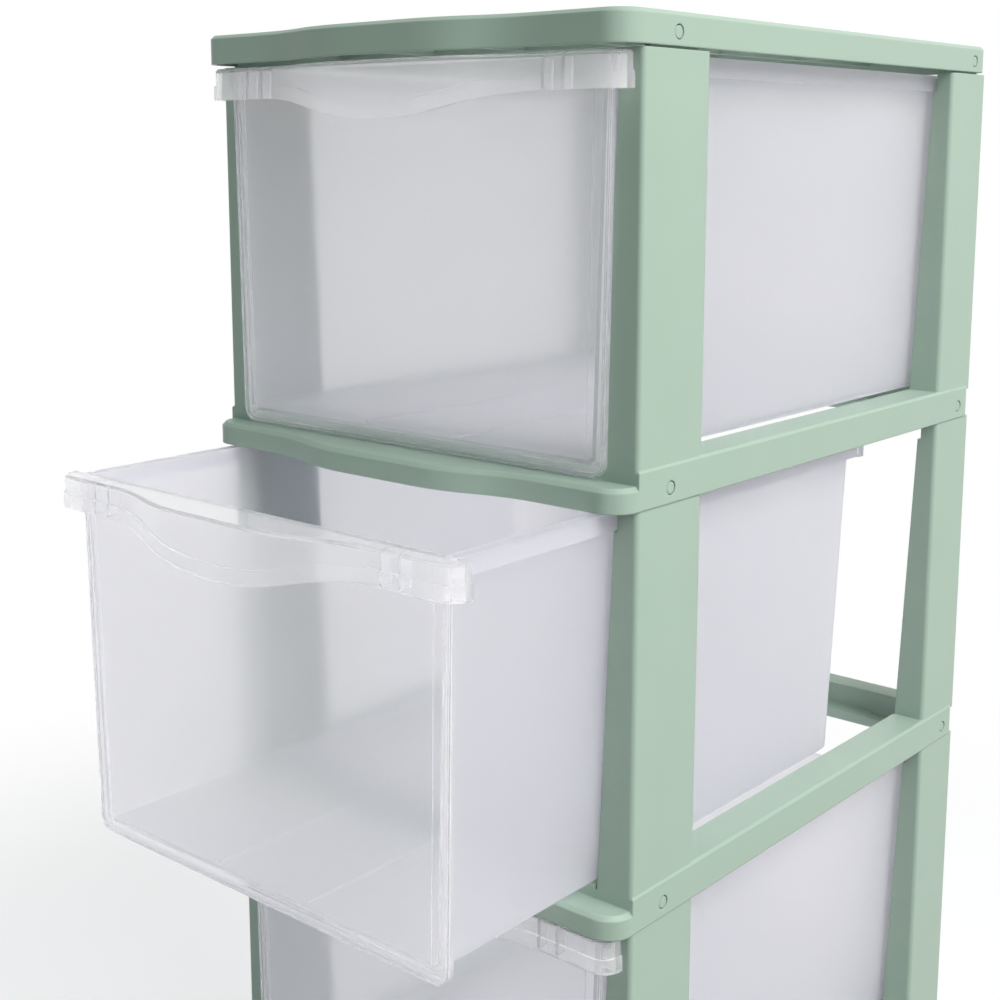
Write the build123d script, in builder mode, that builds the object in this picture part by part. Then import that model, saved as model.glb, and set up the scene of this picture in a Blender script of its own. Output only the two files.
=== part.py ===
from build123d import *
import os

os.makedirs("parts", exist_ok=True)

# A tower of stacked drawer modules, in millimetres, +Z up, standing on z = 0.
# Each frame is one moulding: a ring with four channel posts. Posts plug into the ring or the panel above.
# Distances "back" are measured from the front plane of the posts, positive towards the rear.

# Tower
tier_pitch = 219.0
drawer_open = 112.0  # how far the middle drawer stands open
wall = 2.5
margin = 20.0  # how far cutting shapes reach past the object
overlap = 1.0  # how far joined or cut shapes run into one another
seam_gap = 1.2  # shadow gap between the top tier's posts and the panel
fit_gap = 0.3

# Ring of each frame
frame_half = 151.0
frame_back = 371.0
lip_front = 15.5
bow_front = 28.0
bow_flat = 25.0  # half length of the bow's flat middle
bow_end = 100.0  # where the bow meets the straight lip
lip_corner = 14.5
back_corner = 7.0
lip_height = 12.5
lip_chamfer = 2.2
ring_height = 20.0
rail_chamfer = 1.2
opening_half = 129.5
opening_front = 16.0
opening_back = 340.0
back_wall = 354.0
ledge_height = 6.0
slot_width = 3.2
slot_across = 22.0
slot_along = 7.0
slot_middle = 111.0  # from the centreline to the middle of the slot's long leg
slot_back = 352.0

# Posts, as (front, back, step edge, edge below the step, edge at the foot, peg position, rear corner radius)
front_post = (0.0, 54.0, 138.4, 136.3, 128.3, 27.0, 2.4)
rear_post = (325.0, 370.0, 139.8, 137.7, 130.2, 354.0, 6.0)
post_half = 150.2
post_wall = 3.0
post_round = 2.4
step_drop = 11.5

# Tongue, peg and snap hole
tongue_height = 14.2
post_tongue_root = 14.0
foot_tongue_root = 1.0
tongue_wall = 2.8
tongue_inset = 7.0
peg_radius = 3.1
hole_radius = 3.7
peg_height = 7.7

# Top panel
panel_height = 16.0
panel_chamfer = 1.9
panel_rib = 2.0
panel_rib_depth = 7.0
lengthwise_ribs = (-70.0, 0.0, 70.0)
crosswise_ribs = (95.0, 185.0, 275.0)

# Feet
foot_height = 10.0
foot_inner = 127.0
foot_round = 5.0

# Drawer, heights from the underside of its own ring
floor_under = 20.6
floor_wall = 2.0
drawer_top = 217.5
tub_half_low = 127.5
tub_half_high = 133.0
tub_back_low = 353.5
tub_back_high = 359.5
tub_corner_low = 8.0
tub_corner_high = 9.5
tub_wall = 2.0
tub_bevel = 2.5
rim_half = 137.5
rim_back = 364.0
rim_height = 9.5
rim_wall = 2.0
rim_round = 3.0
tab_half = 139.2
tab_length = 5.0
back_notch_half = 98.0
back_notch_bottom = 181.0
back_notch_round = 14.0
floor_rib = 2.0
floor_rib_x = 34.0
floor_rib_height = 1.2

# Front plate of the drawer
plate_front = 5.4
plate_wall = 2.5
plate_back = 0.6
plate_low_half = 132.0
plate_high_half = 135.3
plate_bottom = 14.3
plate_round = 8.0
border_wall = 2.0
field_low_half = 122.5
field_high_half = 126.0
field_recess = 0.7
field_round = 4.0
field_top_drop = 4.0

# Grip along the top of the drawer front
grip_half = 146.0
grip_front = 14.3
grip_bow = 27.3
grip_corner = 10.0
grip_wall = 2.2
grip_chamfer = 1.2
grip_inset = 0.5  # how far the gussets stop above the lower edge
grip_end_drop = 17.5
grip_middle_drop = 30.0
bead_height = 8.0
bead_proud = 1.2
gusset_wall = 2.0
gusset_places = (101.0, 113.0)

front_most = grip_bow + bead_proud + drawer_open
post_plane = (front_most - frame_back) / 2  # puts the origin under the middle of the tower as it stands


def level(height, out=0.0):
    """A horizontal plane at a height above the floor, with its origin on the posts' front plane."""
    return Plane((0, post_plane - out, height))


def upright(back, height):
    """A vertical plane facing the front, with its origin at a height on the centreline."""
    return Plane((0, post_plane + back, height), x_dir=(1, 0, 0), z_dir=(0, -1, 0))


def bowed_plan(half, front, bow, corner, back):
    """Face with a straight back and an S-curved, bowed front."""
    with BuildLine() as outline:
        middle = Line((0, -bow), (bow_flat, -bow))
        swell = TangentArc(middle @ 1, ((bow_flat + bow_end) / 2, -(bow + front) / 2), tangent=(1, 0))
        ebb = TangentArc(swell @ 1, (bow_end, -front), tangent=swell % 1)
        straight = Line(ebb @ 1, (half - corner, -front))
        turn = JernArc(straight @ 1, (1, 0), corner, 90)
        Polyline(turn @ 1, (half, back), (0, back))
        mirror(about=Plane.YZ)
    make_face(outline.edges())


def frame_plan(inset=0.0):
    """Outline of a ring or of the top panel, drawn in by an inset."""
    bowed_plan(frame_half - inset, lip_front - inset, bow_front - inset, lip_corner - inset,
               frame_back - inset)
    fillet(vertices().group_by(Axis.Y)[-1], back_corner - inset)


def rectangle_between(half, front, back, mode=Mode.ADD):
    """Rectangle across the centreline, from front to back."""
    with Locations((0, (front + back) / 2)):
        Rectangle(2 * half, back - front, mode=mode)


def post_profile(side, inner, front, back, rear_round):
    """Channel section of a post, open towards the drawer, with round outer corners."""
    web = post_half - post_wall
    points = [(inner, front), (post_half, front), (post_half, back), (inner, back),
              (inner, back - post_wall), (web, back - post_wall), (web, front + post_wall),
              (inner, front + post_wall)]
    with BuildLine() as outline:
        Polyline([(side * x, y) for x, y in points], close=True)
    make_face(outline.edges())
    corners = vertices().sort_by(Axis.X, reverse=side > 0)[:2].sort_by(Axis.Y)
    fillet(corners[0], post_round)
    fillet(corners[1], rear_round)


def add_post(base, side, post):
    """Channel post whose webs lean back and end in the step that the drawer's rim slides on."""
    front, back, step_edge, high_edge, foot_edge, peg_back, rear_round = post
    foot = base + ring_height - wall
    top = base + tier_pitch
    with BuildSketch(level(foot)) as plan:
        post_profile(side, foot_edge, front, back, rear_round)
    extrude(plan.sketch, amount=top - foot)
    with BuildSketch(upright(front - overlap, top)) as taper:
        with BuildLine():
            Polyline((side * (foot_edge - overlap), foot - top), (side * foot_edge, foot - top),
                     (side * high_edge, -step_drop), (side * step_edge, -step_drop),
                     (side * step_edge, overlap), (side * (foot_edge - overlap), overlap), close=True)
        make_face()
    extrude(taper.sketch, amount=front - back - 2 * overlap, mode=Mode.SUBTRACT)
    add_tongue(top, side, front, back, peg_back, post_tongue_root)


def add_tongue(shoulder, side, front, back, peg_back, root):
    """Plate that stands inside the skirt above, with the peg that snaps into its hole."""
    outer = frame_half - wall - fit_gap
    with BuildSketch(level(shoulder - root)) as tongue:
        with Locations((side * (outer - tongue_wall / 2), (front + back) / 2)):
            Rectangle(tongue_wall, back - front - 2 * tongue_inset)
    extrude(tongue.sketch, amount=root + tongue_height)
    place = Plane((side * outer, post_plane + peg_back, shoulder + peg_height), z_dir=(side, 0, 0))
    with BuildSketch(place) as peg:
        Circle(peg_radius)
    extrude(peg.sketch, amount=wall)


def cut_snap_holes(bottom):
    """Round holes through both side skirts, over each post."""
    for side in (-1, 1):
        for peg_back in (front_post[5], rear_post[5]):
            place = Plane((side * (frame_half + overlap), post_plane + peg_back, bottom + peg_height),
                          z_dir=(-side, 0, 0))
            with BuildSketch(place) as hole:
                Circle(hole_radius)
            extrude(hole.sketch, amount=wall + 2 * overlap, mode=Mode.SUBTRACT)


def tier_frame(label, base):
    """Ring with a bowed front lip, hollow rails and four posts."""
    with BuildPart() as frame:
        # Lip: its top edge is bevelled before the rails cover the rest of it.
        with BuildSketch(level(base)):
            frame_plan()
        extrude(amount=lip_height)
        chamfer(frame.faces().sort_by(Axis.Z)[-1].outer_wire().edges(), lip_chamfer)
        with BuildSketch(level(base)) as rails:
            rectangle_between(frame_half, 0, frame_back)
            fillet(rails.vertices().group_by(Axis.Y)[-1], back_corner)
        extrude(amount=ring_height)
        chamfer(frame.faces().sort_by(Axis.Z)[-1].outer_wire().edges(), rail_chamfer)

        # The underside is hollow, with a skirt round the outside and one round the opening.
        with BuildSketch(level(base)):
            frame_plan(wall)
            rectangle_between(opening_half + wall, opening_front - wall, back_wall + wall, Mode.SUBTRACT)
        extrude(amount=lip_height - wall, mode=Mode.SUBTRACT)
        with BuildSketch(level(base)) as hollow:
            rectangle_between(frame_half - wall, wall, frame_back - wall)
            fillet(hollow.vertices().group_by(Axis.Y)[-1], back_corner - wall)
            rectangle_between(opening_half + wall, opening_front - wall, back_wall + wall, Mode.SUBTRACT)
        extrude(amount=ring_height - wall, mode=Mode.SUBTRACT)

        # Opening, and the low ledge in front of the back rail.
        with BuildSketch(level(base)):
            rectangle_between(opening_half, opening_front, opening_back)
        extrude(amount=ring_height, mode=Mode.SUBTRACT)
        with BuildSketch(level(base + ledge_height)):
            rectangle_between(opening_half, opening_front, back_wall)
        extrude(amount=ring_height, mode=Mode.SUBTRACT)
        with BuildSketch(level(base)):
            rectangle_between(opening_half, opening_back + wall, back_wall)
        extrude(amount=ledge_height - wall, mode=Mode.SUBTRACT)

        # L-shaped moulding slots where the ledge meets the back wall.
        with BuildSketch(level(base)):
            for side in (-1, 1):
                with Locations((side * slot_middle, slot_back)):
                    Rectangle(slot_across, slot_width)
                with Locations((side * (slot_middle + (slot_across - slot_width) / 2),
                                slot_back - slot_along / 2)):
                    Rectangle(slot_width, slot_along)
        extrude(amount=ledge_height, mode=Mode.SUBTRACT)

        for side in (-1, 1):
            for post in (front_post, rear_post):
                add_post(base, side, post)
        cut_snap_holes(base)
    frame.part.label = label
    export_step(frame.part, f"parts/{label}.step")


def cover_panel():
    """Bowed cover, hollow underneath, stiffened by crossing ribs."""
    bottom = foot_height + 3 * tier_pitch + seam_gap
    top = bottom + panel_height
    with BuildPart() as panel:
        with BuildSketch(level(bottom)):
            frame_plan()
        extrude(amount=panel_height)
        chamfer(panel.faces().sort_by(Axis.Z)[-1].outer_wire().edges(), panel_chamfer)
        with BuildSketch(level(bottom)):
            frame_plan(wall)
        extrude(amount=panel_height - wall, mode=Mode.SUBTRACT)
        with BuildSketch(level(top - wall - panel_rib_depth)):
            for rib_x in lengthwise_ribs:
                with Locations((rib_x, frame_back / 2)):
                    Rectangle(panel_rib, frame_back - wall)
            for rib_back in crosswise_ribs:
                with Locations((0, rib_back)):
                    Rectangle(2 * frame_half - wall, panel_rib)
        extrude(amount=panel_rib_depth)
        cut_snap_holes(bottom - seam_gap)
    panel.part.label = "top_panel"
    export_step(panel.part, "parts/top_panel.step")


def plug_foot(label, side, post):
    """Foot under one corner of the lowest ring, held by the same tongue and peg as a post."""
    front, back, peg_back = post[0], post[1], post[5]
    middle = (foot_inner + frame_half) / 2
    with BuildPart() as foot:
        with BuildSketch(level(0)):
            with Locations((side * middle, (front + back) / 2)):
                RectangleRounded(frame_half - foot_inner, back - front, foot_round)
        extrude(amount=foot_height)
        add_tongue(foot_height, side, front, back, peg_back, foot_tongue_root)
    foot.part.label = label
    export_step(foot.part, f"parts/{label}.step")


def tub_loft(base, out, bottom, inset, front):
    """Tapered outside of the tub, or the hollow that its inset leaves, bevelled along the floor."""
    sections = []
    for height, half, rear, corner in (
            (bottom, tub_half_low - tub_bevel, tub_back_low - tub_bevel, tub_corner_low - tub_bevel),
            (bottom + tub_bevel, tub_half_low, tub_back_low, tub_corner_low),
            (drawer_top, tub_half_high, tub_back_high, tub_corner_high)):
        with BuildSketch(level(base + height, out)) as section:
            rectangle_between(half - inset, front, rear - inset)
            fillet(section.vertices().group_by(Axis.Y)[-1], corner - inset)
        sections.append(section.sketch)
    loft(sections, ruled=True, mode=Mode.SUBTRACT if inset else Mode.ADD)


def grip_plan(inset=0.0):
    """Plan of the grip, which follows the bow of the lips above and below it."""
    bowed_plan(grip_half - inset, grip_front - inset, grip_bow - inset, grip_corner - inset,
               plate_wall - plate_front)


def below_grip(rise, mode=Mode.ADD):
    """Everything under the grip's lower edge, which dips in the middle. Heights are from the drawer's top."""
    end = rise - grip_end_drop
    dip = rise - grip_middle_drop
    with BuildLine() as outline:
        flat = Line((grip_half + margin, end), (bow_end, end))
        fall = TangentArc(flat @ 1, (bow_end / 2, (end + dip) / 2), tangent=(-1, 0))
        TangentArc(fall @ 1, (0, dip), tangent=fall % 1)
        Polyline((grip_half + margin, end), (grip_half + margin, dip - margin), (0, dip - margin))
        mirror(about=Plane.YZ)
    make_face(outline.edges(), mode=mode)


def tapered_face(low_half, high_half, bottom, inset=0.0, top=0.0):
    """Front view of a panel that widens upwards. Heights are from the drawer's top."""
    low = bottom + inset - drawer_top
    with BuildLine() as outline:
        Polyline((inset - high_half, top), (inset - low_half, low), (low_half - inset, low),
                 (high_half - inset, top), close=True)
    make_face(outline.edges())


def add_rim(top, out):
    """Flange and skirt round the tub's sides and rear, with a stop tab at each rear corner."""
    with BuildSketch(level(top - rim_wall, out)) as flange:
        rectangle_between(rim_half, -plate_front, rim_back)
        fillet(flange.vertices().group_by(Axis.Y)[-1], rim_round)
    extrude(flange.sketch, amount=rim_wall)
    with BuildSketch(level(top - rim_height, out)) as skirt:
        rectangle_between(rim_half, -plate_front, rim_back)
        fillet(skirt.vertices().group_by(Axis.Y)[-1], rim_round)
        rectangle_between(tab_half, rim_back - rim_round - tab_length, rim_back - rim_round)
        rectangle_between(rim_half - rim_wall, -plate_front, rim_back - rim_wall, Mode.SUBTRACT)
    extrude(skirt.sketch, amount=rim_height)


def add_grip(top, out):
    """Gutter that is open below, with a bead along its dipping lower edge and gussets inside."""
    reach = grip_bow + margin
    cut = plate_front - plate_wall - reach
    with BuildSketch(level(top - grip_middle_drop, out)) as bead:
        grip_plan(-bead_proud)
    extrude(bead.sketch, amount=grip_middle_drop - grip_end_drop + bead_height)
    with BuildSketch(upright(-reach - out, top)) as above_bead:
        Rectangle(4 * grip_half, 4 * grip_middle_drop)
        below_grip(bead_height, Mode.SUBTRACT)
    extrude(above_bead.sketch, amount=cut, mode=Mode.SUBTRACT)
    with BuildSketch(level(top - grip_middle_drop, out)) as block:
        grip_plan()
    gutter = extrude(block.sketch, amount=grip_middle_drop)
    chamfer(gutter.faces().sort_by(Axis.Z)[-1].edges().sort_by(Axis.Y)[:-1], grip_chamfer)
    with BuildSketch(level(top - grip_middle_drop, out)) as hollow:
        grip_plan(grip_wall)
    extrude(hollow.sketch, amount=grip_middle_drop - grip_wall, mode=Mode.SUBTRACT)
    with BuildSketch(upright(-reach - out, top)) as under:
        below_grip(0)
    extrude(under.sketch, amount=cut, mode=Mode.SUBTRACT)
    with BuildSketch(level(top - grip_end_drop + grip_inset, out)) as gussets:
        for gusset_x in gusset_places:
            for side in (-1, 1):
                with Locations((side * gusset_x, -(grip_front + plate_front) / 2)):
                    Rectangle(gusset_wall, grip_front - plate_front)
    extrude(gussets.sketch, amount=grip_end_drop - grip_wall)


def add_plate(top, out):
    """Front plate with a border bead on its back, ears behind the ends of the grip and a sunk field."""
    with BuildSketch(upright(-plate_front - out, top)) as plate:
        tapered_face(plate_low_half, plate_high_half, plate_bottom)
        fillet(plate.vertices().group_by(Axis.Y)[0], plate_round)
        with Locations((0, -grip_end_drop / 2)):
            Rectangle(2 * (grip_half - grip_wall), grip_end_drop)
    extrude(plate.sketch, amount=-plate_wall)
    with BuildSketch(upright(-plate_front - out, top)) as border:
        tapered_face(plate_low_half, plate_high_half, plate_bottom)
        fillet(border.vertices().group_by(Axis.Y)[0], plate_round)
        with BuildSketch(Plane.XY, mode=Mode.PRIVATE) as inner:
            tapered_face(plate_low_half, plate_high_half, plate_bottom, border_wall)
            fillet(inner.vertices().group_by(Axis.Y)[0], plate_round - border_wall)
        add(inner.sketch, mode=Mode.SUBTRACT)
    extrude(border.sketch, amount=plate_back - plate_front)
    with BuildSketch(upright(-plate_front - out, top)) as field:
        tapered_face(field_low_half, field_high_half, floor_under, top=-field_top_drop)
        fillet(field.vertices().group_by(Axis.Y)[0], field_round)
    extrude(field.sketch, amount=-field_recess, mode=Mode.SUBTRACT)


def drawer(label, base, out):
    """One-piece drawer: grip, tub, rim and front plate, standing open by a distance out."""
    top = base + drawer_top
    inside = floor_under + floor_wall
    front = plate_wall - plate_front
    with BuildPart() as box:
        add_grip(top, out)
        tub_loft(base, out, floor_under, 0, front - overlap)
        add_rim(top, out)
        tub_loft(base, out, inside, tub_wall, front)
        add_plate(top, out)

        # The rear wall is cut low in the middle, so that the contents can be seen and lifted from behind.
        with BuildSketch(upright(rim_back + overlap - out, top)) as notch:
            tapered_face(back_notch_half, back_notch_half, back_notch_bottom, top=margin)
            fillet(notch.vertices().group_by(Axis.Y)[0], back_notch_round)
        extrude(amount=margin, mode=Mode.SUBTRACT)

        with BuildSketch(level(base + inside, out)):
            for side in (-1, 1):
                with Locations((side * floor_rib_x, tub_back_low / 2)):
                    Rectangle(floor_rib, tub_back_low)
        extrude(amount=floor_rib_height)
    box.part.label = label
    export_step(box.part, f"parts/{label}.step")


cover_panel()
for tier, name in enumerate(("lower", "middle", "upper")):
    tier_base = foot_height + tier * tier_pitch
    tier_frame(f"{name}_frame", tier_base)
    drawer(f"{name}_drawer", tier_base, drawer_open if name == "middle" else 0)
plug_foot("foot_front_left", -1, front_post)
plug_foot("foot_front_right", 1, front_post)
plug_foot("foot_rear_left", -1, rear_post)
plug_foot("foot_rear_right", 1, rear_post)
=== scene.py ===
import bpy
import math
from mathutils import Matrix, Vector


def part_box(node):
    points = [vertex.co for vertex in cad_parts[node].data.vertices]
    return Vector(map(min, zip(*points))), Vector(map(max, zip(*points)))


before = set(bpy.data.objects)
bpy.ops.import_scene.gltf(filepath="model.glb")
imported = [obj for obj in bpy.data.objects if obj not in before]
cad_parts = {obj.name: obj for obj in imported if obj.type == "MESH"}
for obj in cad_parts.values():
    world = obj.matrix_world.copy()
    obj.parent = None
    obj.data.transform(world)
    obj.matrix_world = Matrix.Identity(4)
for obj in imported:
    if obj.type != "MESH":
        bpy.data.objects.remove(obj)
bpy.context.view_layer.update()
print("frame loaded:", len(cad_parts), "nodes")

plainWhite = (1.0, 1.0, 1.0, 1.0)


def newGroup(name, inputs, outputs):
    group = bpy.data.node_groups.new(name, "ShaderNodeTree")
    for label, kind in inputs:
        group.interface.new_socket(label, in_out="INPUT", socket_type=kind)
    for label, kind in outputs:
        group.interface.new_socket(label, in_out="OUTPUT", socket_type=kind)
    return group, group.nodes.new("NodeGroupInput"), group.nodes.new("NodeGroupOutput")


def addNode(tree, kind, **values):
    node = tree.nodes.new(kind)
    for name, value in values.items():
        setattr(node, name, value)
    return node


# a value goes on the socket itself, an output is linked to it
def feed(tree, socket, value):
    if isinstance(value, (int, float, tuple)):
        socket.default_value = value
    else:
        tree.links.new(value, socket)


def addMath(tree, operation, first, second, clamp=False):
    node = addNode(tree, "ShaderNodeMath", operation=operation, use_clamp=clamp)
    feed(tree, node.inputs[0], first)
    feed(tree, node.inputs[1], second)
    return node.outputs[0]


# goes from one value to another as the share goes from 0 to 1
def blend(tree, share, start, end):
    return addMath(tree, "ADD", addMath(tree, "MULTIPLY", share, end - start), start)


def mixColour(tree, share, first, second):
    mix = addNode(tree, "ShaderNodeMix", data_type="RGBA")
    feed(tree, mix.inputs[0], share)
    feed(tree, mix.inputs[6], first)  # the colours come after the numbers and the vectors
    feed(tree, mix.inputs[7], second)
    return mix.outputs[2]


def mixShaders(tree, share, first, second):
    mix = addNode(tree, "ShaderNodeMixShader")
    tree.links.new(share, mix.inputs[0])
    tree.links.new(first.outputs[0], mix.inputs[1])
    tree.links.new(second.outputs[0], mix.inputs[2])
    return mix


# runs from 0 to 1 while a value goes from low to high
def addRamp(tree, value, low, high):
    ramp = addNode(tree, "ShaderNodeMapRange", interpolation_type="SMOOTHSTEP")
    tree.links.new(value, ramp.inputs["Value"])
    ramp.inputs["From Min"].default_value = low
    ramp.inputs["From Max"].default_value = high
    return ramp.outputs["Result"]


grainDetail = {"Height": 2.0, "Mottle": 3.0}


# spark texture of a mould as a height, and a broad mottle, both from 0 to 1
def makeMouldGrain():
    group, given, out = newGroup(
        "mouldGrain",
        [("Vector", "NodeSocketVector"), ("Grain Size", "NodeSocketFloat"),
         ("Mottle Size", "NodeSocketFloat")],
        [("Height", "NodeSocketFloat"), ("Mottle", "NodeSocketFloat")])
    for size, label in (("Grain Size", "Height"), ("Mottle Size", "Mottle")):
        noise = addNode(group, "ShaderNodeTexNoise")
        noise.inputs["Detail"].default_value = grainDetail[label]
        group.links.new(given.outputs["Vector"], noise.inputs["Vector"])
        group.links.new(addMath(group, "DIVIDE", 1.0, given.outputs[size]), noise.inputs["Scale"])
        group.links.new(noise.outputs[0], out.inputs[label])
    return group


edgeRead = {
    "samples": 4,
    "gain": 4.0,  # how soon the mask reaches 1 as the surface bends
}


# 1 along edges and 0 on flat faces, which places the painted edge highlight, and the normal of
# the rounded edge
def makeSoftEdge():
    group, given, out = newGroup(
        "softEdge", [("Radius", "NodeSocketFloat")],
        [("Mask", "NodeSocketFloat"), ("Normal", "NodeSocketVector")])
    bevel = addNode(group, "ShaderNodeBevel", samples=edgeRead["samples"])
    group.links.new(given.outputs["Radius"], bevel.inputs["Radius"])
    surface = addNode(group, "ShaderNodeNewGeometry")
    turn = addNode(group, "ShaderNodeVectorMath", operation="DOT_PRODUCT")
    group.links.new(bevel.outputs[0], turn.inputs[0])
    group.links.new(surface.outputs["Normal"], turn.inputs[1])
    bend = addMath(group, "SUBTRACT", 1.0, turn.outputs["Value"])
    group.links.new(addMath(group, "MULTIPLY", bend, edgeRead["gain"], clamp=True),
                    out.inputs["Mask"])
    group.links.new(bevel.outputs[0], out.inputs["Normal"])
    return group


mouldGrain = makeMouldGrain()
softEdge = makeSoftEdge()
print("node groups made")


def placeGroup(tree, group, **values):
    node = addNode(tree, "ShaderNodeGroup", node_tree=group)
    for name, value in values.items():
        feed(tree, node.inputs[name.replace("_", " ")], value)
    return node


def newMaterial(name):
    material = bpy.data.materials.new(name)
    material.use_nodes = True
    tree = material.node_tree
    place = addNode(tree, "ShaderNodeTexCoord").outputs["Object"]
    return material, tree, tree.nodes["Principled BSDF"], place


def addBump(tree, shader, height, look, normal=None):
    bump = addNode(tree, "ShaderNodeBump")
    bump.inputs["Strength"].default_value = look["grainStrength"]
    bump.inputs["Distance"].default_value = look["grainDepth"]
    tree.links.new(height, bump.inputs["Height"])
    if normal:
        tree.links.new(normal, bump.inputs["Normal"])
    tree.links.new(bump.outputs[0], shader.inputs["Normal"])
    return bump.outputs[0]


sage = {
    "body": (0.355, 0.460, 0.375, 1.0),
    "mottle": (0.380, 0.485, 0.398, 1.0),
    # edge colour: a painted highlight, lighter than the body, that the edge mask lays along the
    # rounded edges
    "edge": (0.450, 0.570, 0.475, 1.0),
    "roughness": 0.42,
    "roughnessSpread": 0.12,
    "ior": 1.49,
    "specular": 0.3,
    "grainSize": 0.00045,
    "mottleSize": 0.035,
    "grainDepth": 0.00002,
    "grainStrength": 0.6,
    "edgeRadius": 0.0011,
}


def makeSagePlastic():
    material, tree, shader, place = newMaterial("sagePlastic")
    grain = placeGroup(tree, mouldGrain, Vector=place, Grain_Size=sage["grainSize"],
                       Mottle_Size=sage["mottleSize"])
    edge = placeGroup(tree, softEdge, Radius=sage["edgeRadius"])
    colour = mixColour(tree, grain.outputs["Mottle"], sage["body"], sage["mottle"])
    # painted highlight: a lighter colour along the rounded edges where light would catch them
    colour = mixColour(tree, edge.outputs["Mask"], colour, sage["edge"])
    tree.links.new(colour, shader.inputs["Base Color"])
    halfSpread = sage["roughnessSpread"] / 2
    roughness = blend(tree, grain.outputs["Height"], sage["roughness"] - halfSpread,
                      sage["roughness"] + halfSpread)
    tree.links.new(roughness, shader.inputs["Roughness"])
    addBump(tree, shader, grain.outputs["Height"], sage, edge.outputs["Normal"])
    shader.inputs["IOR"].default_value = sage["ior"]
    shader.inputs["Specular IOR Level"].default_value = sage["specular"]
    return material


frost = {
    "tub": (0.83, 0.825, 0.865, 1.0),
    "front": (0.955, 0.95, 0.95, 1.0),
    "tubRoughness": 0.42,
    "frontRoughness": 0.085,
    "roughnessSpread": 0.06,
    "ior": 1.45,
    "clarity": 0.87,  # share of the plain surface that refracts
    "tubMilk": 0.25,  # share of light that scatters on its way through
    "frontMilk": 0.09,
    "milk": (0.94, 0.925, 0.905, 1.0),
    "lampShare": (0.72, 0.73, 0.78, 1.0),  # light of the lamp that passes each face
    "grainSize": 0.0006,
    "mottleSize": 0.05,
    "grainDepth": 0.00002,
    "grainStrength": 0.5,
    "plateFromRear": 0.3694,  # from the rear of the rim to the face of the front plate
    "plateDepth": 0.0029,  # how far the clear plastic reaches behind that face
}


# 1 on the clear front plate and grip, 0 on the frosted tub
def frontMask(tree, place, frontBack):
    split = addNode(tree, "ShaderNodeSeparateXYZ")
    tree.links.new(place, split.inputs[0])
    return addMath(tree, "LESS_THAN", split.outputs["Y"], frontBack)


def makeDrawerPlastic(name, frontBack):
    material, tree, shader, place = newMaterial(name)
    mask = frontMask(tree, place, frontBack)
    grain = placeGroup(tree, mouldGrain, Vector=place, Grain_Size=frost["grainSize"],
                       Mottle_Size=frost["mottleSize"])
    tree.links.new(mixColour(tree, mask, frost["tub"], frost["front"]),
                   shader.inputs["Base Color"])
    halfSpread = frost["roughnessSpread"] / 2
    roughness = addMath(tree, "ADD",
                        blend(tree, mask, frost["tubRoughness"], frost["frontRoughness"]),
                        blend(tree, grain.outputs["Mottle"], -halfSpread, halfSpread))
    tree.links.new(roughness, shader.inputs["Roughness"])
    shader.inputs["Transmission Weight"].default_value = frost["clarity"]
    shader.inputs["IOR"].default_value = frost["ior"]
    normal = addBump(tree, shader, grain.outputs["Height"], frost)
    milk = addNode(tree, "ShaderNodeBsdfTranslucent")
    milk.inputs["Color"].default_value = frost["milk"]
    tree.links.new(normal, milk.inputs["Normal"])
    body = mixShaders(tree, blend(tree, mask, frost["tubMilk"], frost["frontMilk"]), shader, milk)
    # the lamp reaches the inside of the drawers
    clear = addNode(tree, "ShaderNodeBsdfTransparent")
    clear.inputs["Color"].default_value = frost["lampShare"]
    path = addNode(tree, "ShaderNodeLightPath")
    mix = mixShaders(tree, path.outputs["Is Shadow Ray"], body, clear)
    tree.links.new(mix.outputs[0], tree.nodes["Material Output"].inputs["Surface"])
    return material


def dressNode(name, material):
    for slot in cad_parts[name].material_slots:
        slot.material = material


# each drawer has its own copy of the plastic, because the middle one stands open
sagePlastic = makeSagePlastic()
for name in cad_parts:
    if name.endswith("_drawer"):
        low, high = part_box(name)
        plateFace = high[1] - frost["plateFromRear"]
        dressNode(name, makeDrawerPlastic(name + "Plastic", plateFace + frost["plateDepth"]))
    else:
        dressNode(name, sagePlastic)
print("materials assigned")


studio = {
    "floorSize": 14.0,
    "floorColour": (0.94, 0.94, 0.94, 1.0),
    "floorRoughness": 0.9,
    "floorBounce": (0.36, 0.36, 0.36, 1.0),  # what the floor sends up to the tower
    "floorWhite": 0.65,  # share of plain white near the tower, the rest keeps the shadow
    "whiteFrom": 0.45,  # distance from the middle at which the floor starts to turn plain white
    "whiteAt": 0.95,
    "lampPlace": (2.35, -0.30, 2.45),
    "lampAim": (0.0, 0.0, 0.34),
    "lampSize": 2.2,
    "lampPower": 98.0,
    "skyBehind": (1.0, 0.985, 0.96, 1.0),  # light of the backdrop
    "skyFront": (0.14, 0.19, 0.20, 1.0),  # light of the dimmer room in front
    "skyTurn": (-0.35, 0.75),  # the one turns into the other between these directions
}


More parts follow.
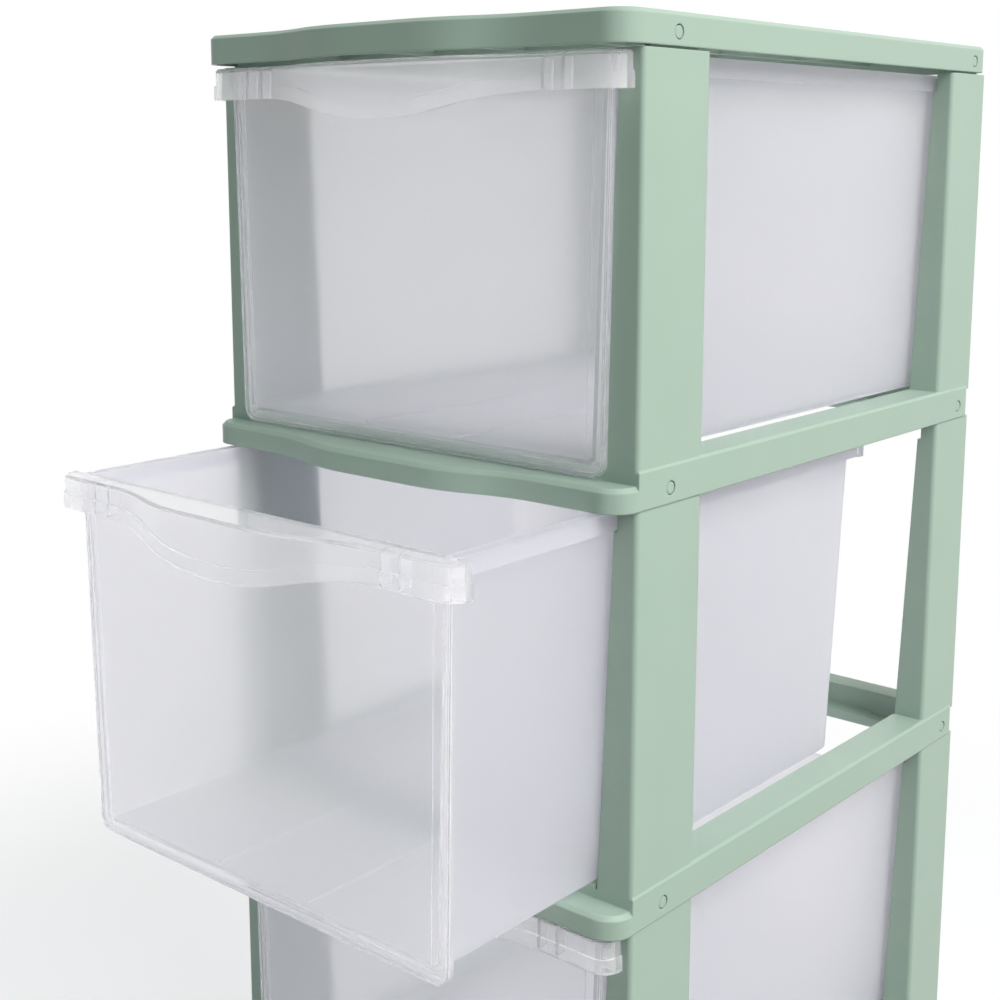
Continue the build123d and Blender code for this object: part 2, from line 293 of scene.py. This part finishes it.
# a paper floor that keeps the shadow near the tower and turns plain white further out
def makeFloor():
    bpy.ops.object.select_all(action="DESELECT")
    bpy.ops.mesh.primitive_plane_add(size=studio["floorSize"], location=(0, 0, 0))
    floor = bpy.context.object
    floor.name = "studioFloor"
    material, tree, shader, place = newMaterial("palePaper")
    path = addNode(tree, "ShaderNodeLightPath")
    colour = mixColour(tree, path.outputs["Is Diffuse Ray"], studio["floorColour"],
                       studio["floorBounce"])
    tree.links.new(colour, shader.inputs["Base Color"])
    shader.inputs["Roughness"].default_value = studio["floorRoughness"]
    shader.inputs["Specular IOR Level"].default_value = 0.0
    distance = addNode(tree, "ShaderNodeVectorMath", operation="LENGTH")
    tree.links.new(place, distance.inputs[0])
    far = addRamp(tree, distance.outputs["Value"], studio["whiteFrom"], studio["whiteAt"])
    seen = addMath(tree, "SUBTRACT", 1.0, path.outputs["Is Diffuse Ray"])
    share = addMath(tree, "MULTIPLY", blend(tree, far, studio["floorWhite"], 1.0), seen)
    white = addNode(tree, "ShaderNodeEmission")
    mix = mixShaders(tree, share, shader, white)
    tree.links.new(mix.outputs[0], tree.nodes["Material Output"].inputs["Surface"])
    floor.data.materials.append(material)


def makeLamp():
    lamp = bpy.data.lights.new("studioLamp", "AREA")
    lamp.shape = "DISK"
    lamp.size = studio["lampSize"]
    lamp.energy = studio["lampPower"]
    holder = bpy.data.objects.new("studioLamp", lamp)
    holder.location = studio["lampPlace"]
    aim = Vector(studio["lampAim"]) - Vector(studio["lampPlace"])
    holder.rotation_euler = aim.to_track_quat("-Z", "Y").to_euler()
    bpy.context.scene.collection.objects.link(holder)


# white to the camera, in gloss and through the plastic,
# and as light on the tower bright from behind it and dim from the front
def makeWorld():
    world = bpy.data.worlds.new("studioWorld")
    bpy.context.scene.world = world
    world.use_nodes = True
    tree = world.node_tree
    path = addNode(tree, "ShaderNodeLightPath")
    seen = addMath(tree, "SUBTRACT", path.outputs["Is Transmission Ray"],
                   path.outputs["Is Diffuse Ray"], clamp=True)
    for ray in ("Is Camera Ray", "Is Glossy Ray"):
        seen = addMath(tree, "MAXIMUM", seen, path.outputs[ray])
    split = addNode(tree, "ShaderNodeSeparateXYZ")
    way = addNode(tree, "ShaderNodeTexCoord").outputs["Generated"]
    tree.links.new(way, split.inputs[0])
    behind = addRamp(tree, split.outputs["Y"], *studio["skyTurn"])
    light = mixColour(tree, behind, studio["skyFront"], studio["skyBehind"])
    tree.links.new(mixColour(tree, seen, light, plainWhite),
                   tree.nodes["Background"].inputs["Color"])


view = {
    "place": (0.5750, -0.7086, 0.6197),
    "azimuth": 40.80,
    "pitch": 9.62,
    "sensor": 36.0,
    "focal": 1.5485,  # focal length as a share of the picture's width
    "shift": -0.087,
    "clipStart": 0.01,
}


def makeCamera():
    camera = bpy.data.cameras.new("photoCamera")
    holder = bpy.data.objects.new("photoCamera", camera)
    bpy.context.scene.collection.objects.link(holder)
    camera.sensor_width = view["sensor"]
    camera.lens = view["sensor"] * view["focal"]
    camera.shift_y = view["shift"]
    camera.clip_start = view["clipStart"]
    holder.location = view["place"]
    holder.rotation_euler = (math.radians(90 - view["pitch"]), 0, math.radians(view["azimuth"]))
    bpy.context.scene.camera = holder


makeFloor()
makeLamp()
makeWorld()
makeCamera()
bpy.context.scene.view_settings.view_transform = "Standard"
print("stage set")
